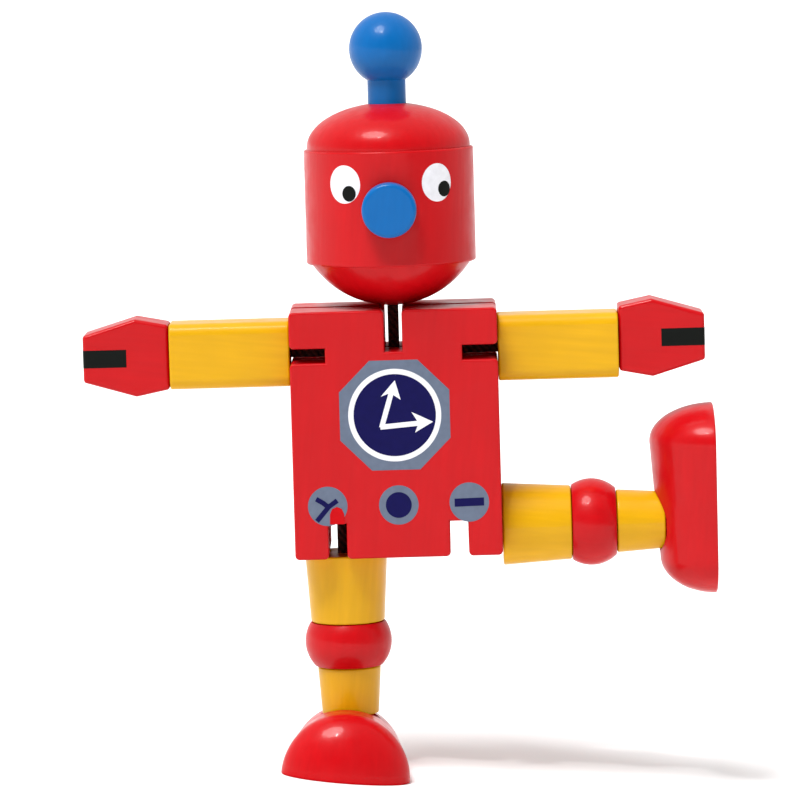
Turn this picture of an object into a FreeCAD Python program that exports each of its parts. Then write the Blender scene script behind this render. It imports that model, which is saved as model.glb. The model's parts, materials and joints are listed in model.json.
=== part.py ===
import FreeCAD, Part
import math
import os

import Sketcher

# A posable wooden toy robot: painted blocks and turned pieces strung on elastic, balanced on one foot.
#
# Millimetres, +Z up, -Y is the robot's front, and left and right are the robot's own, so its left
# is +X. The origin is on the floor, under the ankle of the right leg, on which it stands.
# Every driving dimension is a cell of the sheet "dims". Pieces are modelled in one of these frames:
#   torso frame: at the bottom of the torso, halfway through its width and depth, +Z up;
#   limb frame:  at the middle of the face where a limb meets the torso, +Z away from the torso
#                and, in a leg, -Y towards the toe;
#   foot frame:  on the sole under the ankle, -Y towards the toe, +Z up the leg;
#   head frame:  where the head touches the torso's top, +Z up.

V = FreeCAD.Vector
Rotation = FreeCAD.Rotation
Placement = FreeCAD.Placement

X, Y, Z = V(1, 0, 0), V(0, 1, 0), V(0, 0, 1)

DIMENSIONS = {
    # torso: a front and a back board held apart by five small spacers, with a gap between them
    "torso_width": 41.0, "torso_height": 49.0, "torso_depth": 25.0,
    "gap_width": 2.8, "edge_round": 0.9, "face_round": 0.45,
    "neck_slot_width": 3.5, "neck_slot_depth": 8.2,
    "arm_slot_width": 2.9, "arm_slot_depth": 7.0, "arm_drop": 8.7,
    "leg_slot_width": 3.6, "leg_slot_depth": 7.0, "leg_slot_place": 12.0,
    "cavity_size": 9.0, "cavity_depth": 2.4, "knot_height": 24.0, "knot_radius": 3.7,
    # elastic cord, the bores it runs in, and the air between two pieces that it pulls together
    "cord_radius": 1.1, "bore_radius": 1.7, "seat_gap": 0.12, "end_knot_radius": 2.3,
    "arm_cord_stub": 1.4, "leg_cord_stub": 1.4, "side_cord_stub": 1.6,
    # arms and hands
    "arm_size": 13.0, "arm_length": 23.8, "arm_round": 2.2, "end_round": 0.4,
    "hand_length": 17.0, "hand_inner": 12.8, "hand_middle": 15.4, "hand_outer": 9.2,
    "hand_crest": 6.6, "hand_thickness": 11.0, "hand_round": 0.7, "left_hand_rise": 1.3,
    "plug_radius": 2.5, "plug_length": 5.0, "knot_room": 5.0,
    # legs
    "right_leg_place": 10.7, "left_leg_height": 4.7, "right_cord_shift": 0.55,
    "thigh_length": 13.7, "thigh_top_radius": 8.2, "thigh_low_radius": 7.35,
    "knee_radius": 8.65, "knee_swell": 7.75, "knee_upper": 3.9, "knee_lower": 4.9,
    "shin_length": 9.6, "shin_top_radius": 6.3, "shin_low_radius": 5.65,
    # feet: half of a turned egg, sawn along its length
    "foot_heel": 14.8, "foot_toe": 23.2, "foot_heel_radius": 11.05, "foot_toe_radius": 12.75,
    "foot_heel_end": 7.6, "foot_toe_end": 7.4, "foot_seat_height": 9.9, "foot_seat_radius": 6.1,
    "foot_plug_radius": 3.4, "foot_plug_length": 3.2, "foot_edge": 0.35,
    "foot_knot_room": 3.4, "foot_knot_radius": 1.6,
    # head, nose and antenna
    "head_radius": 16.8, "head_low": 8.6, "head_high": 31.2, "dome_radius": 18.8,
    "crown_radius": 16.2, "crown_height": 9.0, "crown_lip": 0.35, "head_knot_height": 25.0,
    "nose_radius": 5.35, "nose_length": 4.2, "nose_peg": 5.0, "nose_round": 0.8,
    "nose_height": 19.9, "ball_radius": 7.25, "ball_height": 50.8, "stem_radius": 3.8,
    "stem_peg": 8.0,
    # the whole robot leans over its standing foot to balance
    "lean": 6.0,
}

# how far a cord's end or a seated ball reaches into its neighbour, and the spare length of a
# cutting tool beyond the solid that it cuts
TOUCH = 0.05
SPARE = 8.0

# spacers between the boards: the corner nearest the middle and the size, across and up
SPACERS = {
    "lower_spacer": (-4.5, 8.0, 9.0, 6.0),
    "left_side_spacer": (6.5, 19.5, 6.5, 9.5),
    "right_side_spacer": (-13.0, 19.5, 6.5, 9.5),
    "left_top_spacer": (3.0, 36.5, 4.0, 4.5),
    "right_top_spacer": (-7.0, 36.5, 4.0, 4.5),
}

doc = FreeCAD.newDocument("toy_robot")
sheet = doc.addObject("Spreadsheet::Sheet", "dims")


def fill_sheet():
    cells = dict(DIMENSIONS)
    for spacer, (across, up, width, height) in SPACERS.items():
        cells[f"{spacer}_across"] = across
        cells[f"{spacer}_up"] = up
        cells[f"{spacer}_width"] = width
        cells[f"{spacer}_height"] = height
    for row, (name, value) in enumerate(cells.items(), start=1):
        sheet.set(f"A{row}", name)
        sheet.set(f"B{row}", str(value))
        sheet.setAlias(f"B{row}", name)
    doc.recompute()


fill_sheet()


class Size:
    """A length that knows both its value now and the expression that drives it."""

    def __init__(self, value, text):
        self.value = float(value)
        self.text = text

    def __add__(self, other):
        other = as_size(other)
        return Size(self.value + other.value, f"({self.text} + {other.text})")

    def __sub__(self, other):
        other = as_size(other)
        return Size(self.value - other.value, f"({self.text} - {other.text})")

    def __mul__(self, other):
        other = as_size(other)
        return Size(self.value * other.value, f"({self.text} * {other.text})")

    def __truediv__(self, other):
        other = as_size(other)
        return Size(self.value / other.value, f"({self.text} / {other.text})")

    def __neg__(self):
        return Size(-self.value, f"(0 - {self.text})")


def as_size(x):
    return x if isinstance(x, Size) else Size(x, f"({float(x)})")


def dim(name):
    return Size(float(sheet.get(name)), f"dims.{name}")


def mm(name):
    """A cell's value, for code that works a shape or a place out itself."""
    return float(sheet.get(name))


# ---------------------------------------------------------------- solids
def bind(obj, **sizes):
    for prop, size in sizes.items():
        obj.setExpression(prop, as_size(size).text)
    return obj


def move(obj, x=0.0, y=0.0, z=0.0):
    for axis, size in zip("xyz", (x, y, z)):
        obj.setExpression(f"Placement.Base.{axis}", as_size(size).text)
    return obj


def turn(obj, axis, angle):
    obj.Placement = Placement(V(), Rotation(axis, angle))
    return obj


def box(name, length, width, height, x=0.0, y=0.0, z=0.0):
    obj = doc.addObject("Part::Box", name)
    return move(bind(obj, Length=length, Width=width, Height=height), x, y, z)


def cylinder(name, radius, height, z=0.0):
    obj = doc.addObject("Part::Cylinder", name)
    return move(bind(obj, Radius=radius, Height=height), z=z)


def cone(name, radius_1, radius_2, height, z=0.0):
    obj = doc.addObject("Part::Cone", name)
    return move(bind(obj, Radius1=radius_1, Radius2=radius_2, Height=height), z=z)


def sphere(name, radius, z=0.0):
    obj = doc.addObject("Part::Sphere", name)
    return move(bind(obj, Radius=radius), z=z)


def ellipsoid(name, radius, half_height, z=0.0):
    """A ball of the given radius, stretched or pressed along Z."""
    obj = doc.addObject("Part::Ellipsoid", name)
    bind(obj, Radius1=half_height, Radius2=radius, Radius3=radius)
    return move(obj, z=z)


def cut(name, base, *tools):
    for i, tool in enumerate(tools):
        last = i == len(tools) - 1
        obj = doc.addObject("Part::Cut", name if last else f"{name}_cut_{i}")
        obj.Base = base
        obj.Tool = tool
        base = obj
    return base


def common(name, a, b):
    obj = doc.addObject("Part::MultiCommon", name)
    obj.Shapes = [a, b]
    return obj


def fuse(name, *shapes):
    obj = doc.addObject("Part::MultiFuse", name)
    obj.Shapes = list(shapes)
    obj.Refine = True
    return obj


def rounded(name, base, radius, wanted):
    """Rounds the edges of a solid for which wanted(edge) is true."""
    doc.recompute()
    picked = [i for i, e in enumerate(base.Shape.Edges, start=1) if wanted(e)]
    obj = doc.addObject("Part::Fillet", name)
    obj.Base = base
    obj.Edges = [(i, mm(radius), mm(radius)) for i in picked]
    return obj


def is_rim(radius, z):
    """A test for the round edge of the given radius at height z."""
    def wanted(edge):
        if edge.Degenerated:
            return False
        bounds = edge.BoundBox
        level = bounds.ZLength < 0.01 and abs(bounds.ZMin - z) < 0.01
        return level and abs(bounds.XLength - 2 * radius) < 0.05
    return wanted


def is_along(edge, axis):
    """True for a straight edge that runs along the axis."""
    if edge.Degenerated or not isinstance(edge.Curve, Part.Line):
        return False
    return abs(edge.Curve.Direction.dot(axis)) > 0.999


# ---------------------------------------------------------------- bodies from sketches
def plane_of(body, role):
    return next(f for f in body.Origin.OriginFeatures if f.Role == role)


def new_sketch(body, name, role):
    sketch = body.newObject("Sketcher::SketchObject", name)
    sketch.AttachmentSupport = [(plane_of(body, role), "")]
    sketch.MapMode = "FlatFace"
    return sketch


def outline(sketch, points):
    """A closed outline of straight lines, its corners driven by the sheet."""
    first = sketch.GeometryCount
    count = len(points)
    corners = [(as_size(x), as_size(y)) for x, y in points]
    flat = [V(x.value, y.value, 0) for x, y in corners]
    for i in range(count):
        sketch.addGeometry(Part.LineSegment(flat[i], flat[(i + 1) % count]), False)
    for i in range(count):
        following = first + (i + 1) % count
        sketch.addConstraint(Sketcher.Constraint("Coincident", first + i, 2, following, 1))
    for i, corner in enumerate(corners):
        for kind, size in zip(("DistanceX", "DistanceY"), corner):
            made = Sketcher.Constraint(kind, -1, 1, first + i, 1, size.value)
            index = sketch.addConstraint(made)
            sketch.setExpression(f"Constraints[{index}]", size.text)


def rectangle(sketch, x, y, width, height):
    x, y, width, height = (as_size(s) for s in (x, y, width, height))
    outline(sketch, [(x, y), (x + width, y), (x + width, y + height), (x, y + height)])


def circle(sketch, radius):
    radius = as_size(radius)
    i = sketch.addGeometry(Part.Circle(V(), Z, radius.value), False)
    sketch.addConstraint(Sketcher.Constraint("Coincident", i, 3, -1, 1))
    index = sketch.addConstraint(Sketcher.Constraint("Radius", i, radius.value))
    sketch.setExpression(f"Constraints[{index}]", radius.text)


def pad(body, sketch, length, name, midplane=False):
    feature = body.newObject("PartDesign::Pad", name)
    feature.Profile = sketch
    feature.Midplane = midplane
    bind(feature, Length=length)
    doc.recompute()


def pocket(body, sketch, length, name):
    """Cuts towards the side that a pad of the same sketch would grow to."""
    before = body.Shape.Volume
    feature = body.newObject("PartDesign::Pocket", name)
    feature.Profile = sketch
    feature.Reversed = True
    bind(feature, Length=length)
    doc.recompute()
    if body.Shape.Volume > before - 1e-3:
        raise RuntimeError(f"{name} cut nothing")


def fillet(body, radius, name, wanted):
    """Rounds the edges of the body for which wanted(edge) is true."""
    tip = body.Tip
    picked = [f"Edge{i}" for i, e in enumerate(tip.Shape.Edges, start=1) if wanted(e)]
    feature = body.newObject("PartDesign::Fillet", name)
    feature.Base = (tip, picked)
    bind(feature, Radius=dim(radius))
    doc.recompute()


# ---------------------------------------------------------------- places
def columns(x, y, z):
    """The rotation that carries the three axes to x, y and z."""
    m = FreeCAD.Matrix(x.x, y.x, z.x, 0, x.y, y.y, z.y, 0, x.z, y.z, z.z, 0, 0, 0, 0, 1)
    return Placement(m).Rotation


def leg_length():
    """From the thigh's face on the torso to the shin's face on the foot."""
    pieces = ("thigh_length", "knee_upper", "knee_lower", "shin_length")
    return sum(mm(piece) for piece in pieces) + 2 * mm("seat_gap")


def torso_frame():
    """The right leg leans about its ankle, so the shin's low rim is what clears the foot."""
    gap = mm("seat_gap")
    rim = mm("shin_low_radius") * math.sin(math.radians(mm("lean")))
    ankle = Placement(V(0, 0, mm("foot_seat_height") + rim + gap), Rotation(Y, -mm("lean")))
    return ankle * Placement(V(mm("right_leg_place"), 0, leg_length() + gap), Rotation())


def limb_frame(limb):
    side = mm("torso_width") / 2 + mm("seat_gap")
    arm = mm("torso_height") - mm("arm_drop")
    places = {
        "right_arm": Placement(V(-side, 0, arm), columns(Z, Y, -X)),
        "left_arm": Placement(V(side, 0, arm), columns(-Z, Y, X)),
        "right_leg": Placement(V(-mm("right_leg_place"), 0, -mm("seat_gap")), columns(-X, Y, -Z)),
        "left_leg": Placement(V(side, 0, mm("left_leg_height")), columns(-Y, -Z, X)),
    }
    return torso_frame() * places[limb]


def foot_frame(limb):
    """The standing foot is flat on the floor and the other one is square to its own leg."""
    if limb == "right_leg":
        return Placement()
    sole = leg_length() + mm("seat_gap") + mm("foot_seat_height")
    return limb_frame(limb) * Placement(V(0, 0, sole), Rotation(Y, 180))


def head_frame():
    return torso_frame() * Placement(V(0, 0, mm("torso_height") + mm("seat_gap")), Rotation())


NODES = []


def node(obj, name, frame):
    """Names a finished piece and carries it from its frame to its place in the robot."""
    doc.recompute()
    own_place = obj.Placement
    for axis in "xyz":
        obj.setExpression(f"Placement.Base.{axis}", None)
    obj.Label = name
    obj.Placement = frame * own_place
    NODES.append(obj)


# ---------------------------------------------------------------- elastic cord
def cord(name, points, frame):
    """A tight stretch of elastic through two or three points, in a frame's XZ plane."""
    radius = mm("cord_radius")
    start, end = points[0], points[-1]
    if len(points) == 2:
        path = Part.Wire([Part.LineSegment(start, end).toShape()])
    else:
        bend = points[1]
        first = (bend - start).normalize()
        second = (end - bend).normalize()
        run = 0.9 * min(bend.distanceToPoint(start), bend.distanceToPoint(end))
        a, b = bend - first * run, bend + second * run
        inward = (second - first).normalize()
        half_turn = first.getAngle(second) / 2
        arc_radius = run / math.tan(half_turn)
        middle = bend + inward * (arc_radius / math.cos(half_turn) - arc_radius)
        path = Part.Wire([
            Part.LineSegment(start, a).toShape(),
            Part.Arc(a, middle, b).toShape(),
            Part.LineSegment(b, end).toShape(),
        ])
        print(f"{name}: bend radius {arc_radius:.1f} mm")
    ring = Part.Wire([Part.Circle(start, points[1] - start, radius).toShape()])
    obj = doc.addObject("Part::Feature", name)
    obj.Shape = path.makePipeShell([ring], True, False)
    volume = math.pi * radius ** 2 * path.Length
    if abs(obj.Shape.Volume / volume - 1) > 0.01:
        raise RuntimeError(f"{name} is not a tube of the right length")
    node(obj, name, frame)


def straight_cord(name, low, high, frame):
    """Elastic along a frame's Z axis, from low to high."""
    low, high = as_size(low), as_size(high)
    node(cylinder(name, dim("cord_radius"), high - low, low), name, frame)


def torso_cords():
    """The knot in the middle of the torso and the elastic that leads from it to the five slots."""
    frame = torso_frame()
    knot = V(0, 0, mm("knot_height"))
    node(sphere("centre_knot", dim("knot_radius"), dim("knot_height")), "centre_knot", frame)
    side, top = mm("torso_width") / 2, mm("torso_height")
    arm = top - mm("arm_drop")
    arm_slot = side - mm("arm_slot_depth")
    leg_slot = mm("leg_slot_depth")
    leg, high_leg = mm("right_leg_place") + mm("right_cord_shift"), mm("left_leg_height")
    arm_stub, leg_stub, side_stub = (mm(f"{k}_cord_stub") for k in ("arm", "leg", "side"))
    routes = {
        "neck_inner_elastic": [V(0, 0, top - mm("neck_slot_depth"))],
        "right_leg_inner_elastic": [V(-leg, 0, leg_slot + leg_stub), V(-leg, 0, leg_slot - leg_stub)],
        "left_leg_inner_elastic": [V(side - 2 * side_stub, 0, high_leg),
                                   V(side - side_stub / 2, 0, high_leg)],
    }
    for name, sign in (("right_arm_inner_elastic", -1), ("left_arm_inner_elastic", 1)):
        routes[name] = [V(sign * (arm_slot - arm_stub), 0, arm), V(sign * (arm_slot + arm_stub), 0, arm)]
    for name, points in routes.items():
        away = (points[0] - knot).normalize()
        cord(name, [knot + away * (mm("knot_radius") - TOUCH), *points], frame)


# ---------------------------------------------------------------- torso
def torso_outline():
    """A board's outline with its five slots, anticlockwise seen from the back."""
    side, top = dim("torso_width") / 2, dim("torso_height")
    neck, neck_end = dim("neck_slot_width") / 2, top - dim("neck_slot_depth")
    arm_low = top - dim("arm_drop") - dim("arm_slot_width") / 2
    arm_high, arm_end = arm_low + dim("arm_slot_width"), side - dim("arm_slot_depth")
    leg_in = dim("leg_slot_place") - dim("leg_slot_width") / 2
    leg_out, leg_end = leg_in + dim("leg_slot_width"), dim("leg_slot_depth")
    half = [
        (leg_in, as_size(0)), (leg_in, leg_end), (leg_out, leg_end), (leg_out, as_size(0)),
        (side, as_size(0)), (side, arm_low), (arm_end, arm_low), (arm_end, arm_high),
        (side, arm_high), (side, top), (neck, top), (neck, neck_end),
    ]
    return half + [(-x, z) for x, z in reversed(half)]


def torso_board(name, back):
    """A board lies from the middle gap to the front or the back face."""
    body = doc.addObject("PartDesign::Body", name)
    board = new_sketch(body, f"{name}_outline", "XZ_Plane")
    outline(board, torso_outline())
    pad(body, board, (dim("torso_depth") - dim("gap_width")) / 2, f"{name}_pad")

    half_width, top = mm("torso_width") / 2, mm("torso_height")
    thick = (mm("torso_depth") - mm("gap_width")) / 2
    face_y = -thick

    def is_outer_corner(edge):
        if not is_along(edge, Y):
            return False
        p = edge.CenterOfMass
        return abs(abs(p.x) - half_width) < 1e-4 or abs(p.z) < 1e-4 or abs(p.z - top) < 1e-4

    def is_face_edge(edge):
        bounds = edge.BoundBox
        return abs(bounds.YMin - face_y) < 1e-4 and abs(bounds.YMax - face_y) < 1e-4

    fillet(body, "edge_round", f"{name}_corners", is_outer_corner)
    fillet(body, "face_round", f"{name}_face_edges", is_face_edge)
    room = new_sketch(body, f"{name}_room", "XZ_Plane")
    size = dim("cavity_size")
    rectangle(room, -size / 2, dim("knot_height") - size / 2, size, size)
    pocket(body, room, dim("cavity_depth"), f"{name}_knot_room")
    place = Placement(V(0, -mm("gap_width") / 2, 0), Rotation())
    if back:
        place = Placement(V(0, mm("gap_width") / 2, 0), Rotation(Z, 180))
    node(body, name, torso_frame() * place)


def torso():
    torso_board("torso_front", back=False)
    torso_board("torso_back", back=True)
    gap = dim("gap_width")
    for name in SPACERS:
        across, up, width, height = (dim(f"{name}_{k}") for k in ("across", "up", "width", "height"))
        node(box(name, width, gap, height, across, -gap / 2, up), name, torso_frame())
    torso_cords()


# ---------------------------------------------------------------- arms
def arm(side):
    frame = limb_frame(f"{side}_arm")
    size, length = dim("arm_size"), dim("arm_length")
    name = f"{side}_arm"
    body = doc.addObject("PartDesign::Body", name)
    square = new_sketch(body, f"{name}_section", "XY_Plane")
    rectangle(square, -size / 2, -size / 2, size, size)
    circle(square, dim("bore_radius"))
    pad(body, square, length, f"{name}_pad")
    half = mm("arm_size") / 2

    def is_end_edge(edge):
        p = edge.BoundBox
        flat = p.ZMax - p.ZMin < 1e-4
        return flat and max(abs(p.XMin), abs(p.XMax), abs(p.YMin), abs(p.YMax)) > half / 2

    fillet(body, "arm_round", f"{name}_long_edges", lambda e: is_along(e, Z))
    fillet(body, "end_round", f"{name}_end_edges", is_end_edge)
    node(body, name, frame)
    hand(side, frame, length)


def hand(side, frame, arm_length):
    """A flat six-sided hand, with a plug in its outer end that hides the elastic's knot."""
    name = f"{side}_hand"
    gap = dim("seat_gap")
    length, crest = dim("hand_length"), dim("hand_crest")
    inner, middle, outer = (dim(f"hand_{k}") / 2 for k in ("inner", "middle", "outer"))
    rise = dim("left_hand_rise") if side == "left" else as_size(0)
    body = doc.addObject("PartDesign::Body", f"{name}_block")
    six = new_sketch(body, f"{name}_outline", "XZ_Plane")
    half = [(inner, as_size(0)), (middle, crest), (outer, length)]
    corners = half + [(-x, z) for x, z in reversed(half)]
    outline(six, [(x - rise, z) for x, z in corners])
    pad(body, six, dim("hand_thickness"), f"{name}_pad", midplane=True)
    fillet(body, "hand_round", f"{name}_edges", lambda e: True)
    bore = new_sketch(body, f"{name}_bore", "XY_Plane")
    circle(bore, dim("bore_radius"))
    pocket(body, bore, length, f"{name}_bore_cut")
    start = Placement(V(0, 0, mm("arm_length") + mm("seat_gap")), Rotation())
    doc.recompute()

    room = dim("plug_length") + dim("knot_room")
    socket_tool = cylinder(f"{name}_socket", dim("plug_radius"), room + SPARE, length - room)
    drilled = cut(f"{name}_drilled", body, socket_tool)
    node(drilled, name, frame * start)
    plug = cylinder(f"{name}_plug", dim("plug_radius"), dim("plug_length") - TOUCH,
                    length - dim("plug_length"))
    node(plug, f"{name}_plug", frame * start)
    knot_z = length - room + dim("end_knot_radius") + 2 * TOUCH
    node(sphere(f"{name}_knot", dim("end_knot_radius"), knot_z), f"{name}_knot", frame * start)
    straight_cord(f"{name}_elastic", 0, knot_z - dim("end_knot_radius") + TOUCH, frame * start)
    straight_cord(f"{side}_arm_elastic", 0, arm_length + gap, frame)
    reach = dim("arm_slot_depth") - dim("arm_cord_stub") + gap
    straight_cord(f"{side}_shoulder_elastic", -reach, 0, frame)


# ---------------------------------------------------------------- legs
def turned_piece(name, solid, length, low_radius, high_radius):
    """Bores a turned solid that stands on its low face and rounds its two rims."""
    bore = cylinder(f"{name}_bore", dim("bore_radius"), length + 2 * SPARE, -SPARE)
    drilled = cut(f"{name}_drilled", solid, bore)
    low, high = is_rim(low_radius, 0.0), is_rim(high_radius, length.value)
    return rounded(name, drilled, "end_round", lambda e: low(e) or high(e))


def leg(side):
    frame = limb_frame(f"{side}_leg")
    gap = mm("seat_gap")
    stub = mm("side_cord_stub") / 2
    reach = stub if side == "left" else mm("leg_slot_depth") - mm("leg_cord_stub")
    knee_length = dim("knee_upper") + dim("knee_lower")
    shift = Placement(V(mm("right_cord_shift") if side == "right" else 0.0, 0, 0), Rotation())
    stops = {}
    place = 0.0
    for piece, length in (("thigh", dim("thigh_length")), ("knee", knee_length),
                          ("shin", dim("shin_length"))):
        stops[piece] = (frame * Placement(V(0, 0, place), Rotation()), length)
        place += length.value + gap

    for piece in ("thigh", "shin"):
        name = f"{side}_{piece}"
        here, length = stops[piece]
        upper, lower = dim(f"{piece}_top_radius"), dim(f"{piece}_low_radius")
        taper = cone(f"{name}_cone", upper, lower, length)
        node(turned_piece(name, taper, length, upper.value, lower.value), name, here)
        beyond = gap if piece == "thigh" else 0.0
        straight_cord(f"{name}_elastic", 0, length + beyond, here * shift)

    here, length = stops["knee"]
    name = f"{side}_knee"
    egg = ellipsoid(f"{name}_egg", dim("knee_radius"), dim("knee_swell"), dim("knee_upper"))
    slab = cylinder(f"{name}_slab", dim("knee_radius") + 1, length)
    swell = mm("knee_swell")
    rims = [mm("knee_radius") * math.sqrt(1 - (mm(k) / swell) ** 2)
            for k in ("knee_upper", "knee_lower")]
    bead = common(f"{name}_barrel", egg, slab)
    node(turned_piece(name, bead, length, *rims), name, here)
    straight_cord(f"{name}_elastic", 0, length + gap, here * shift)
    straight_cord(f"{side}_hip_elastic", -(as_size(reach) + gap), 0, frame * shift)
    foot(side)


def foot(side):
    """The plug in the sole hides the elastic's knot."""
    name = f"{side}_foot"
    frame = foot_frame(f"{side}_leg")
    heel_end, toe_end = dim("foot_heel_end"), dim("foot_toe_end")
    heel_place = dim("foot_heel") - heel_end
    toe_place = dim("foot_toe") - toe_end
    # the egg is turned along Z, heel up, and then laid on its side
    heel = ellipsoid(f"{name}_heel_end", dim("foot_heel_radius"), heel_end, heel_place)
    toe = ellipsoid(f"{name}_toe_end", dim("foot_toe_radius"), toe_end, -toe_place)
    middle = cone(f"{name}_middle", dim("foot_toe_radius"), dim("foot_heel_radius"),
                  heel_place + toe_place, -toe_place)
    egg = fuse(f"{name}_egg", heel, middle, toe)
    turn(egg, X, -90)
    wide = dim("foot_toe_radius") * 2 + 2 * SPARE
    long = dim("foot_heel") + dim("foot_toe") + 2 * SPARE
    waste = box(f"{name}_waste", wide, long, wide, -wide / 2, -dim("foot_toe") - SPARE, -wide)
    seat = cylinder(f"{name}_seat", dim("foot_seat_radius"), SPARE, dim("foot_seat_height"))
    bore = cylinder(f"{name}_bore", dim("bore_radius"), dim("foot_toe_radius") + SPARE, -SPARE)
    room = dim("foot_plug_length") + dim("foot_knot_room")
    socket = cylinder(f"{name}_socket", dim("foot_plug_radius"), room + SPARE, -SPARE)
    carved = cut(f"{name}_carved", egg, waste, seat, bore, socket)

    def is_sole_edge(edge):
        bounds = edge.BoundBox
        on_sole = bounds.ZMax < 1e-3
        return on_sole and max(bounds.XLength, bounds.YLength) > mm("foot_plug_radius") * 2.1

    node(rounded(name, carved, "foot_edge", is_sole_edge), name, frame)
    plug = cylinder(f"{name}_plug", dim("foot_plug_radius"), dim("foot_plug_length"))
    node(plug, f"{name}_plug", frame)
    knot_radius = dim("foot_knot_radius")
    knot_z = room - knot_radius - TOUCH
    node(sphere(f"{name}_knot", knot_radius, knot_z), f"{name}_knot", frame)
    straight_cord(f"{name}_elastic", knot_z + knot_radius - TOUCH, dim("foot_seat_height"), frame)


# ---------------------------------------------------------------- head
def head():
    frame = head_frame()
    low, high, crown_height = dim("head_low"), dim("head_high"), dim("crown_height")
    lip = dim("crown_lip")
    block = cylinder("head_barrel", dim("head_radius"), high - low, low)
    dome_ball = sphere("head_dome_ball", dim("dome_radius"), dim("dome_radius"))
    dome_slab = cylinder("head_dome_slab", dim("head_radius"), low + 2)
    dome = common("head_dome", dome_ball, dome_slab)
    crown = ellipsoid("head_crown", dim("crown_radius"), crown_height - lip, high + lip)
    neck = cylinder("head_crown_lip", dim("crown_radius"), lip, high)
    solid = fuse("head_solid", block, dome, crown, neck)
    barrel, low_z, high_z = mm("head_radius"), mm("head_low"), mm("head_high")
    is_low, is_high = is_rim(barrel, low_z), is_rim(barrel, high_z)
    eased = rounded("head_eased", solid, "end_round", lambda e: is_low(e) or is_high(e))

    knot_z = dim("head_knot_height")
    bore = cylinder("head_bore", dim("bore_radius"), knot_z + SPARE + 1, -SPARE)
    peg_low = high + crown_height - dim("stem_peg")
    well = cylinder("head_well", dim("stem_radius"), dim("stem_peg") + SPARE, knot_z)
    nose_seat = cylinder("nose_seat", dim("nose_radius"), dim("nose_peg") + SPARE)
    turn(nose_seat, X, -90)
    move(nose_seat, y=-(dim("head_radius") + SPARE), z=dim("nose_height"))
    node(cut("head_block", eased, bore, well, nose_seat), "head_block", frame)

    nose_back = dim("head_radius") - dim("nose_peg")
    peg = cylinder("nose_dowel", dim("nose_radius"), dim("nose_length") + dim("nose_peg"))
    tip = mm("nose_length") + mm("nose_peg")
    nose = rounded("nose", peg, "nose_round", is_rim(mm("nose_radius"), tip))
    nose_place = Placement(V(0, -nose_back.value, mm("nose_height")), Rotation(X, 90))
    node(nose, "nose", frame * nose_place)

    knob = sphere("antenna_ball", dim("ball_radius"), dim("ball_height"))
    stem = cylinder("antenna_stem", dim("stem_radius"), dim("ball_height") - peg_low, peg_low)
    node(fuse("antenna", knob, stem), "antenna", frame)
    radius = dim("end_knot_radius")
    node(sphere("head_knot", radius, knot_z + radius), "head_knot", frame)
    straight_cord("head_elastic", 0, knot_z + TOUCH, frame)
    straight_cord("neck_elastic", -(dim("neck_slot_depth") + dim("seat_gap")), 0, frame)


# ---------------------------------------------------------------- build, check and write
def write_nodes():
    doc.recompute()
    for obj in doc.Objects:
        bad = [state for state in obj.State if state in ("Invalid", "Error")]
        if bad:
            raise RuntimeError(f"{obj.Name} is {bad}")
    os.makedirs("parts", exist_ok=True)
    for obj in NODES:
        shape = obj.Shape
        if shape.isNull() or not shape.isValid() or len(shape.Solids) != 1:
            raise RuntimeError(f"{obj.Label} is not one valid solid")
        shape.exportStep(f"parts/{obj.Label}.step")
        print(f"{obj.Label}: {shape.Volume:.1f} mm3")


torso()
head()
for robot_side in ("right", "left"):
    arm(robot_side)
    leg(robot_side)
write_nodes()
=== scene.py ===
import json
import math

import bpy
from mathutils import Matrix, Vector


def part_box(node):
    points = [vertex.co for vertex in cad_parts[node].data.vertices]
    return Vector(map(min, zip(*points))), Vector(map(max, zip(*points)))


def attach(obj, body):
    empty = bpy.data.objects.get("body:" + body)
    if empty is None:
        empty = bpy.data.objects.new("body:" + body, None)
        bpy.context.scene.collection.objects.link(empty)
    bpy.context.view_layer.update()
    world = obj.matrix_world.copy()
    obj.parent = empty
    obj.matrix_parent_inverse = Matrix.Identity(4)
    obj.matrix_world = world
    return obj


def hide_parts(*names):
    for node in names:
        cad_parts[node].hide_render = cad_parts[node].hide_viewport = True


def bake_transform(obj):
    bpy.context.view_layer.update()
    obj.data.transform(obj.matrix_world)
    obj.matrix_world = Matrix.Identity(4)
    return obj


# A posable wooden toy robot: glossy painted blocks and turned pieces strung on dark elastic.
# Lengths below are millimetres in the torso's, head's or a limb's own frame; MM turns them to metres.

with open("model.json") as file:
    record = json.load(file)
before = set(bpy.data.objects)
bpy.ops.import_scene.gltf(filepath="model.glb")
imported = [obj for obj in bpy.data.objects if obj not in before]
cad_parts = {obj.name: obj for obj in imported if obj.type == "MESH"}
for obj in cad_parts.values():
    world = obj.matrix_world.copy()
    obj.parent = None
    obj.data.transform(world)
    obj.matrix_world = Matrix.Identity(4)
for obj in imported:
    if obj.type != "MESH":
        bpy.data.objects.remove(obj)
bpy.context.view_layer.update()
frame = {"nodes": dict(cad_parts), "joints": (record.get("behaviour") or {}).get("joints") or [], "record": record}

MM = 0.001
JOINTS = {joint["name"]: joint for joint in frame["joints"]}

TORSO = {"height": 49.0, "depth": 25.0}
HEAD_RADIUS = 16.8
SEAT_GAP = 0.12              # the air between two pieces that the elastic pulls together
PRINT_STEP = 0.025           # how far each layer of printing stands above the one below
PRINT_DEPTH = 0.9 * PRINT_STEP

# ---------------------------------------------------------------- places
ACROSS = Vector(JOINTS["head_nod"]["axis"])
UP = Vector(JOINTS["head_turn"]["axis"])
BACK = UP.cross(ACROSS)


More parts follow.
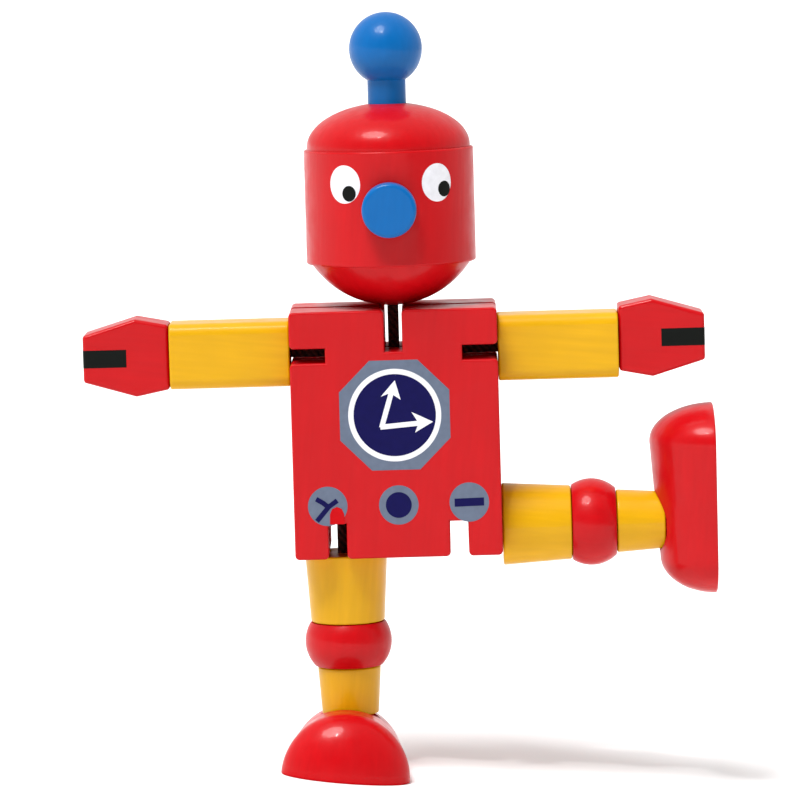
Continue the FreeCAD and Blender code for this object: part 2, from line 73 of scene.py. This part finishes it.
def axes(x, y, z, origin):
    """The matrix of a frame with these axes, in millimetres from its origin in metres."""
    m = Matrix.Identity(4)
    for column, axis in enumerate((x, y, z)):
        for row in range(3):
            m[row][column] = axis[row] * MM
    m.translation = origin
    return m


def torso_matrix():
    """Origin at the bottom of the torso, in the middle of its width and depth."""
    low = Vector([min(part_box(n)[0][i] for n in ("torso_front", "torso_back")) for i in range(3)])
    high = Vector([max(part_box(n)[1][i] for n in ("torso_front", "torso_back")) for i in range(3)])
    bottom = (low + high) / 2 - UP * TORSO["height"] / 2 * MM
    return axes(ACROSS, BACK, UP, bottom)


TORSO_FRAME = torso_matrix()
HEAD_FRAME = axes(ACROSS, BACK, UP, Vector(JOINTS["head_turn"]["pos_m"]))


def hand_matrix(side):
    """Origin at the hand's inner end, +Z towards its outer end."""
    wrist = JOINTS[f"{side}_wrist_turn"]
    out = Vector(wrist["axis"])
    return axes(BACK.cross(out), BACK, out, Vector(wrist["pos_m"]) + out * SEAT_GAP / 2 * MM)


# ---------------------------------------------------------------- materials
class Nodes:
    """Builds one material's node tree."""

    def __init__(self, name):
        self.material = bpy.data.materials.new(name)
        self.material.use_nodes = True
        self.tree = self.material.node_tree
        self.shader = self.tree.nodes["Principled BSDF"]
        self.coordinates = self.tree.nodes.new("ShaderNodeTexCoord").outputs["Object"]

    def link(self, a, b):
        self.tree.links.new(a, b)

    def noise(self, scale, detail=2.0, stretch=(1, 1, 1)):
        """Noise over the object, drawn out along the axes whose stretch is small."""
        mapping = self.tree.nodes.new("ShaderNodeMapping")
        mapping.inputs["Scale"].default_value = stretch
        self.link(self.coordinates, mapping.inputs["Vector"])
        noise = self.tree.nodes.new("ShaderNodeTexNoise")
        noise.inputs["Scale"].default_value = scale
        noise.inputs["Detail"].default_value = detail
        self.link(mapping.outputs["Vector"], noise.inputs["Vector"])
        return noise.outputs["Fac"]

    def spread(self, value, low, high, from_low=0.3, from_high=0.7):
        """Maps a value, by default the usual run of a noise, onto a range."""
        node = self.tree.nodes.new("ShaderNodeMapRange")
        node.inputs["From Min"].default_value = from_low
        node.inputs["From Max"].default_value = from_high
        node.inputs["To Min"].default_value = low
        node.inputs["To Max"].default_value = high
        self.link(value, node.inputs["Value"])
        return node.outputs["Result"]

    def painted_slot_shade(self, closed, wide):
        """Painted shade: one value for surfaces in the open, falling to another down narrow slots where the
        occlusion finds shade.
        """
        node = self.tree.nodes.new("ShaderNodeAmbientOcclusion")
        node.samples = 8
        node.inputs["Distance"].default_value = 0.006
        return self.spread(node.outputs["AO"], closed, wide, 0.35, 0.75)

    def mix(self, factor, a, b):
        node = self.tree.nodes.new("ShaderNodeMix")
        node.data_type = "RGBA"
        self.link(factor, node.inputs["Factor"])
        for socket, colour in ((node.inputs["A"], a), (node.inputs["B"], b)):
            if isinstance(colour, (tuple, list)):
                socket.default_value = (*colour, 1)
            else:
                self.link(colour, socket)
        return node.outputs["Result"]

    def bump(self, height, strength, distance, below=None):
        node = self.tree.nodes.new("ShaderNodeBump")
        node.inputs["Strength"].default_value = strength
        node.inputs["Distance"].default_value = distance
        self.link(height, node.inputs["Height"])
        if below is not None:
            self.link(below, node.inputs["Normal"])
        return node.outputs["Normal"]


def darker(colour, by):
    return tuple(c * by for c in colour)


def painted_wood(name, colour, grain):
    """Gloss paint over wood: the grain shows through a little, and the coat is slightly uneven."""
    n = Nodes(name)
    stretch = tuple(0.06 if axis else 1.0 for axis in grain)
    fine = n.noise(900, 3.0, stretch)
    broad = n.noise(110, 2.0)
    streak = n.mix(n.spread(fine, 0.0, 1.0), darker(colour, 0.90), colour)
    patch = n.mix(n.spread(broad, 0.0, 0.55), streak, darker(colour, 0.86))
    n.link(patch, n.shader.inputs["Base Color"])
    n.link(n.spread(n.noise(260, 2.0), 0.28, 0.44), n.shader.inputs["Roughness"])
    # Painted shade: the paint's specular and coat fade out down the slots, so the slots read dark.
    n.link(n.painted_slot_shade(0.0, 0.12), n.shader.inputs["Specular IOR Level"])
    n.link(n.painted_slot_shade(0.0, 0.17), n.shader.inputs["Coat Weight"])
    n.link(n.spread(n.noise(150, 2.0), 0.05, 0.16), n.shader.inputs["Coat Roughness"])
    peel = n.bump(n.noise(420, 2.0), 0.10, 0.0002)
    under = n.bump(fine, 0.16, 0.0002, peel)
    n.link(under, n.shader.inputs["Normal"])
    n.link(n.bump(n.noise(300, 1.0), 0.08, 0.0002), n.shader.inputs["Coat Normal"])
    return n.material


def print_ink(name, colour):
    """Screen printing: a thin, slightly patchy layer, less glossy than the paint."""
    n = Nodes(name)
    n.link(n.mix(n.spread(n.noise(700, 3.0), 0.0, 1.0), darker(colour, 0.88), colour),
           n.shader.inputs["Base Color"])
    n.link(n.spread(n.noise(500, 2.0), 0.30, 0.45), n.shader.inputs["Roughness"])
    n.shader.inputs["Specular IOR Level"].default_value = 0.06
    n.shader.inputs["Coat Weight"].default_value = 0.04
    n.link(n.bump(n.noise(900, 2.0), 0.08, 0.0001), n.shader.inputs["Normal"])
    return n.material


def bare_wood(name):
    """Unpainted wood with fine upright grain."""
    n = Nodes(name)
    rings = n.noise(700, 4.0, (1, 1, 0.08))
    n.link(n.mix(n.spread(rings, 0.0, 1.0), (0.42, 0.26, 0.13), (0.68, 0.49, 0.28)),
           n.shader.inputs["Base Color"])
    n.link(n.spread(n.noise(400, 2.0), 0.55, 0.75), n.shader.inputs["Roughness"])
    n.link(n.bump(rings, 0.3, 0.0002), n.shader.inputs["Normal"])
    return n.material


def elastic_cord(name):
    """Dark braided cord: two slanting sets of fine ridges cross each other."""
    n = Nodes(name)
    waves = []
    for slant in ((1, 0, 1), (1, 0, -1)):
        mapping = n.tree.nodes.new("ShaderNodeMapping")
        mapping.inputs["Scale"].default_value = slant
        n.link(n.coordinates, mapping.inputs["Vector"])
        wave = n.tree.nodes.new("ShaderNodeTexWave")
        wave.bands_direction = "DIAGONAL"
        wave.inputs["Scale"].default_value = 420
        wave.inputs["Distortion"].default_value = 0.4
        n.link(mapping.outputs["Vector"], wave.inputs["Vector"])
        waves.append(wave.outputs["Fac"])
    n.link(n.mix(waves[0], (0.030, 0.006, 0.005), (0.095, 0.018, 0.014)),
           n.shader.inputs["Base Color"])
    n.link(n.spread(n.noise(800, 2.0), 0.65, 0.85), n.shader.inputs["Roughness"])
    n.shader.inputs["Specular IOR Level"].default_value = 0.2
    n.link(n.bump(waves[1], 0.5, 0.0003, n.bump(waves[0], 0.5, 0.0003)), n.shader.inputs["Normal"])
    return n.material


RED, YELLOW, BLUE = (0.52, 0.002, 0.005), (0.70, 0.37, 0.003), (0.0003, 0.120, 0.39)
ALONG = {"x": (1, 0, 0), "z": (0, 0, 1)}
INK = {
    "white": print_ink("white_print", (0.80, 0.80, 0.84)),
    "grey": print_ink("grey_print", (0.130, 0.160, 0.225)),
    "navy": print_ink("navy_print", (0.005, 0.004, 0.066)),
    "black": print_ink("black_print", (0.005, 0.006, 0.005)),
    "red": print_ink("red_print", RED),
}
PAINT = {
    (slot, way): painted_wood(f"{slot}_{way}", colour, ALONG[way])
    for slot, colour in (("red_paint", RED), ("yellow_paint", YELLOW), ("blue_paint", BLUE))
    for way in ALONG
}
OTHER = {"bare_wood": bare_wood("bare_wood_look"), "elastic": elastic_cord("elastic_look")}


def finish_cad_nodes():
    """The grain runs along an arm, a hand and the raised leg, and upright everywhere else."""
    slots = {part["node"]: part["material_slot"] for part in frame["record"]["subparts"]}
    for name, obj in frame["nodes"].items():
        slot = slots[name]
        lying = "arm" in name or "hand" in name or name in ("left_thigh", "left_knee", "left_shin")
        look = OTHER.get(slot) or PAINT[slot, "x" if lying else "z"]
        obj.data.materials.clear()
        obj.data.materials.append(look)


# ---------------------------------------------------------------- pieces
def new_piece(name, vertices, faces, matrix, look, body, smooth=False):
    """A mesh whose vertices are millimetres in a frame, riding on a body."""
    mesh = bpy.data.meshes.new(name)
    mesh.from_pydata([matrix @ Vector(v) for v in vertices], [], faces)
    mesh.materials.append(look)
    for polygon in mesh.polygons:
        polygon.use_smooth = smooth
    mesh.validate()
    obj = bpy.data.objects.new(name, mesh)
    bpy.context.scene.collection.objects.link(obj)
    if body:
        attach(obj, body)
    return obj


def bands(rings, sides):
    """The faces between neighbouring rings of vertices."""
    return [
        (ring * sides + i, ring * sides + (i + 1) % sides,
         (ring + 1) * sides + (i + 1) % sides, (ring + 1) * sides + i)
        for ring in range(rings) for i in range(sides)
    ]


def disc(radius, sides=64):
    return [(radius * math.cos(math.tau * i / sides), radius * math.sin(math.tau * i / sides))
            for i in range(sides)]


def stroke(points, width):
    """The outline of a brush stroke of even width along two or more points."""
    left, right = [], []
    for i, point in enumerate(points):
        before = Vector(points[max(i - 1, 0)])
        after = Vector(points[min(i + 1, len(points) - 1)])
        way = (after - before).normalized()
        side = Vector((-way.y, way.x)) * width / 2
        left.append(tuple(Vector(point) + side))
        right.append(tuple(Vector(point) - side))
    return right + left[::-1]


def arrow(start, tip, right_barb, left_barb, notch, width):
    """The outline of a dial hand whose swept head is cut in by the notch length."""
    start, tip = Vector(start), Vector(tip)
    way = (tip - start).normalized()
    side = Vector((-way.y, way.x)) * width / 2
    neck = tip - way * notch
    return [tuple(v) for v in (start - side, neck - side, Vector(right_barb), tip, Vector(left_barb),
                               neck + side, start + side)]


def torso_print(name, outline, centre, layer, ink):
    """A flat printed shape on the front of the torso, given as its outline about a centre."""
    y = -TORSO["depth"] / 2 - layer * PRINT_STEP
    flat = [(x + centre[0], y, z + centre[1]) for x, z in outline]
    edge = [(x, y + PRINT_DEPTH, z) for x, _, z in flat]
    count = len(flat)
    faces = [tuple(range(count))]
    faces += [(i, i + count, (i + 1) % count + count, (i + 1) % count) for i in range(count)]
    return new_piece(name, flat + edge, faces, TORSO_FRAME, INK[ink], "torso")


def octagon(across_flats, corner):
    """A square with the given length cut off its sides at each corner."""
    h, k = across_flats / 2, across_flats / 2 - corner
    return [(-k, -h), (k, -h), (h, -k), (h, k), (k, h), (-k, h), (-h, k), (-h, -k)]


DIAL = {"centre": (-0.1, 28.3), "flats": 21.7, "cut": 6.1, "ring": 9.15, "face": 8.1}
DIAL_HANDS = {
    "up": arrow((-2.65, -2.4), (0.2, 6.9), (1.25, 3.0), (-2.65, 3.7), 2.9, 1.0),
    "across": arrow((-2.9, -2.3), (7.5, -1.5), (3.9, -3.55), (3.3, 0.55), 3.1, 1.0),
}


def dial():
    """A clock-like dial, each layer of printing on top of the one before."""
    centre = DIAL["centre"]
    torso_print("dial_plate", octagon(DIAL["flats"], DIAL["cut"]), centre, 1, "grey")
    torso_print("dial_ring", disc(DIAL["ring"], 96), centre, 2, "white")
    torso_print("dial_face", disc(DIAL["face"], 96), centre, 3, "navy")
    for layer, (name, outline) in enumerate(DIAL_HANDS.items(), start=4):
        torso_print(f"dial_hand_{name}", outline, centre, layer, "white")


BUTTONS = {"left": (-13.8, 10.6), "middle": (0.2, 10.5), "right": (14.1, 10.7)}
BUTTON_RADIUS, DOT_RADIUS = 3.9, 2.55
BAR = [(-2.9, -0.85), (2.9, -0.75), (2.9, 0.85), (-2.9, 0.75)]
CROSS_WIDTH = 0.95
CROSS = {
    "long": [(-2.2, -2.9), (0.2, -0.1), (1.9, 1.1)],
    "short": [(-2.25, 1.5), (-0.9, 0.7), (0.4, -0.4)],
}
DAB = {"across": 1.8, "outline": [(-1.45, -3.6), (1.45, -3.6), (1.4, -1.6), (0.95, -0.55), (0.0, -0.15),
                                  (-0.95, -0.55), (-1.4, -1.6)]}


def buttons():
    """Three round buttons: a dot, a bar, and a cross with a dab of the torso's red over it."""
    for name, centre in BUTTONS.items():
        torso_print(f"button_{name}", disc(BUTTON_RADIUS), centre, 1, "grey")
    torso_print("button_dot", disc(DOT_RADIUS), BUTTONS["middle"], 2, "navy")
    torso_print("button_bar", BAR, BUTTONS["right"], 2, "navy")
    left = BUTTONS["left"]
    for layer, (name, points) in enumerate(CROSS.items(), start=2):
        torso_print(f"button_cross_{name}", stroke(points, CROSS_WIDTH), left, layer, "navy")
    torso_print("red_dab", DAB["outline"], (left[0] + DAB["across"], left[1]), 4, "red")


EYES = {
    "right": {"turn": -31.0, "height": 24.9, "pupil_turn": -27.6, "pupil_height": 23.1},
    "left": {"turn": 34.6, "height": 24.8, "pupil_turn": 40.2, "pupil_height": 23.5},
}
EYE_SIZE, PUPIL_SIZE = (3.45, 3.75), (1.5, 1.55)


def head_print(name, turn, height, size, layer, ink):
    """An oval that follows the head's round wall, at an angle from the front."""
    radius = HEAD_RADIUS + layer * PRINT_STEP
    rings, sides = 6, 48
    vertices = []
    for ring in range(rings + 1):
        for i in range(sides):
            spread = ring / rings
            a = math.radians(turn) + spread * size[0] * math.cos(math.tau * i / sides) / HEAD_RADIUS
            z = height + spread * size[1] * math.sin(math.tau * i / sides)
            out = radius if ring < rings else radius - PRINT_DEPTH
            vertices.append((out * math.sin(a), -out * math.cos(a), z))
    return new_piece(name, vertices, bands(rings, sides), HEAD_FRAME, INK[ink], "head",
                     smooth=True)


def eyes():
    for side, eye in EYES.items():
        head_print(f"{side}_eye", eye["turn"], eye["height"], EYE_SIZE, 1, "white")
        head_print(f"{side}_pupil", eye["pupil_turn"], eye["pupil_height"], PUPIL_SIZE, 2, "black")


HAND = {"length": 17.0, "thickness": 11.0, "round": 0.7, "left_rise": 1.3}
STRIPE = {"width": 3.5, "length": 8.6, "corner_steps": 6}


def hand_stripe(side):
    """A black band painted over the end of the hand, from its front round to its back."""
    half, end, bend = HAND["thickness"] / 2 + PRINT_STEP, HAND["length"] + PRINT_STEP, HAND["round"]
    steps = STRIPE["corner_steps"]
    path = [(-half, HAND["length"] - STRIPE["length"]), (-half, end - bend - PRINT_STEP)]
    path += [(-half + bend - bend * math.cos(a), end - bend + bend * math.sin(a))
             for a in (math.pi / 2 * i / steps for i in range(1, steps + 1))]
    path += [(-y, z) for y, z in reversed(path)]
    middle = HAND["left_rise"] if side == "left" else 0.0
    low, high = -middle - STRIPE["width"] / 2, -middle + STRIPE["width"] / 2
    vertices = [(x, y, z) for y, z in path for x in (low, high)]
    faces = [(2 * i, 2 * i + 1, 2 * i + 3, 2 * i + 2) for i in range(len(path) - 1)]
    return new_piece(f"{side}_hand_stripe", vertices, faces, hand_matrix(side), INK["black"],
                     f"{side}_hand")


# ---------------------------------------------------------------- elastic
CORD = {"radius": 1.1, "sides": 32, "ring_step": 0.4}
SPAN = {"slot": 5.72, "side": 0.92, "neck": 8.32}      # lengths of the stretches that leave the torso
STRETCH = {"thigh": 13.7, "knee": 8.8}                 # lengths of elastic inside a leg's pieces
BRIDGE = {"reach": 3.0, "bend": 0.8}                   # each way from the seam between two leg pieces


def centre_of(node):
    """The middle of a piece's box, in metres."""
    low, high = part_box(node)
    return (Vector(low) + Vector(high)) / 2


def tube(name, low, high):
    """A stretch of elastic between two points in metres, with enough rings to bend smoothly."""
    along = high - low
    side = along.orthogonal().normalized()
    other = along.normalized().cross(side)
    rings = max(2, round(along.length / MM / CORD["ring_step"]))
    sides = CORD["sides"]
    vertices = []
    for ring in range(rings + 1):
        middle = low + along * ring / rings
        for i in range(sides):
            a = math.tau * i / sides
            vertices.append(middle + (side * math.cos(a) + other * math.sin(a)) * CORD["radius"] * MM)
    faces = bands(rings, sides)
    faces += [tuple(reversed(range(sides))), tuple(range(rings * sides, (rings + 1) * sides))]
    return new_piece(name, vertices, faces, Matrix.Identity(4), OTHER["elastic"], None,
                     smooth=True)


def limb_spans():
    """The short stretches that enter the torso, each laid along its limb's way through the middle of its elastic
    piece.
    """
    spans = {
        "right_shoulder": ("right_arm", Vector(JOINTS["right_wrist_turn"]["axis"]), SPAN["slot"]),
        "left_shoulder": ("left_arm", Vector(JOINTS["left_wrist_turn"]["axis"]), SPAN["slot"]),
        "right_hip": ("right_thigh", -UP, SPAN["slot"]),
        "left_hip": ("left_thigh", Vector(JOINTS["left_ankle_turn"]["axis"]), SPAN["side"]),
    }
    for link, (limb, way, length) in spans.items():
        node = f"{link}_elastic"
        middle, reach = centre_of(node), way * length / 2 * MM
        inner = middle - reach
        piece = tube(f"{link}_cord", inner, middle + reach)
        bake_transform(piece)
        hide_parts(node)


def neck_span():
    """A straight stretch of elastic up through the middle of the neck's elastic piece."""
    middle, reach = centre_of("neck_elastic"), UP * SPAN["neck"] / 2 * MM
    piece = tube("neck_cord", middle - reach, middle + reach)
    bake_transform(piece)
    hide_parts("neck_elastic")


def knee_bridges():
    """Elastic that shows where a bent knee opens."""
    for side in ("right", "left"):
        for upper, lower in (("thigh", "knee"), ("knee", "shin")):
            a, b = centre_of(f"{side}_{upper}_elastic"), centre_of(f"{side}_{lower}_elastic")
            way = (b - a).normalized()
            seam = a + way * (STRETCH[upper] + SEAT_GAP) / 2 * MM
            reach, bend = way * BRIDGE["reach"] * MM, way * BRIDGE["bend"] * MM
            piece = tube(f"{side}_{upper}_cord", seam - reach, seam + reach)
            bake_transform(piece)


# ---------------------------------------------------------------- stage, light and camera
# in metres; the light's and the camera's angles are in degrees
FLOOR_SIZE = 60.0
STUDIO = {
    "fade": {"From Min": -0.9, "From Max": 0.3, "To Min": 0.22, "To Max": 0.95},
    "key": 3.2, "key_angle": 26.0, "key_way": (0.34, 0.38, -0.86),
    "glint": 0.45, "glint_angle": 3.0, "glint_way": (0.25, 0.55, -0.80),
}
CAMERA = {"distance": 1.05, "height": 0.175, "aim": (0.0050, 0.0, 0.0740), "lens": 238.6,
          "sensor": 36.0, "roll": 4.4}


def floor():
    """Pale paper that runs far past the edges of the view."""
    size = FLOOR_SIZE
    mesh = bpy.data.meshes.new("floor")
    mesh.from_pydata([(-size, -size, 0), (size, -size, 0), (size, size, 0), (-size, size, 0)], [],
                     [(0, 1, 2, 3)])
    n = Nodes("floor_paper")
    n.link(n.mix(n.spread(n.noise(60, 2.0), 0, 1), (0.93, 0.93, 0.93), (0.945, 0.945, 0.945)),
           n.shader.inputs["Base Color"])
    n.link(n.spread(n.noise(90, 2.0), 0.85, 0.95), n.shader.inputs["Roughness"])
    n.shader.inputs["Specular IOR Level"].default_value = 0.0
    mesh.materials.append(n.material)
    obj = bpy.data.objects.new("floor", mesh)
    bpy.context.scene.collection.objects.link(obj)


def sun(name, towards, strength, angle):
    """A large distant softbox: towards is the way its light travels."""
    data = bpy.data.lights.new(name, "SUN")
    data.energy = strength
    data.angle = math.radians(angle)
    obj = bpy.data.objects.new(name, data)
    obj.rotation_mode = "QUATERNION"
    obj.rotation_quaternion = Vector(towards).to_track_quat("-Z", "Y")
    bpy.context.scene.collection.objects.link(obj)


def studio():
    """A white room, darker behind the camera, with one large light and a small one for its glints."""
    world = bpy.data.worlds.new("studio")
    bpy.context.scene.world = world
    world.use_nodes = True
    tree = world.node_tree
    ways = tree.nodes.new("ShaderNodeSeparateXYZ")
    tree.links.new(tree.nodes.new("ShaderNodeTexCoord").outputs["Generated"], ways.inputs["Vector"])
    depth = tree.nodes.new("ShaderNodeMapRange")
    depth.interpolation_type = "SMOOTHSTEP"
    for socket, value in STUDIO["fade"].items():
        depth.inputs[socket].default_value = value
    tree.links.new(ways.outputs["Y"], depth.inputs["Value"])
    background = tree.nodes["Background"]
    background.inputs["Color"].default_value = (1.0, 1.0, 1.0, 1)
    tree.links.new(depth.outputs["Result"], background.inputs["Strength"])
    for light in ("key", "glint"):
        sun(light, STUDIO[f"{light}_way"], STUDIO[light], STUDIO[f"{light}_angle"])


def camera():
    """A long lens in front of the robot and a little above it."""
    data = bpy.data.cameras.new("camera")
    data.lens = CAMERA["lens"]
    data.sensor_width = CAMERA["sensor"]
    data.clip_start = 0.05
    obj = bpy.data.objects.new("camera", data)
    aim = Vector(CAMERA["aim"])
    place = Vector((aim.x, -CAMERA["distance"], CAMERA["height"]))
    obj.location = place
    obj.rotation_mode = "QUATERNION"
    look = (aim - place).to_track_quat("-Z", "Y")
    roll = Matrix.Rotation(math.radians(CAMERA["roll"]), 4, "Z").to_quaternion()
    obj.rotation_quaternion = look @ roll
    bpy.context.scene.collection.objects.link(obj)
    bpy.context.scene.camera = obj


# ---------------------------------------------------------------- the whole scene
finish_cad_nodes()
dial()
buttons()
eyes()
for hand_side in ("right", "left"):
    hand_stripe(hand_side)
limb_spans()
neck_span()
knee_bridges()
floor()
studio()
camera()
bpy.context.scene.view_settings.view_transform = "Standard"
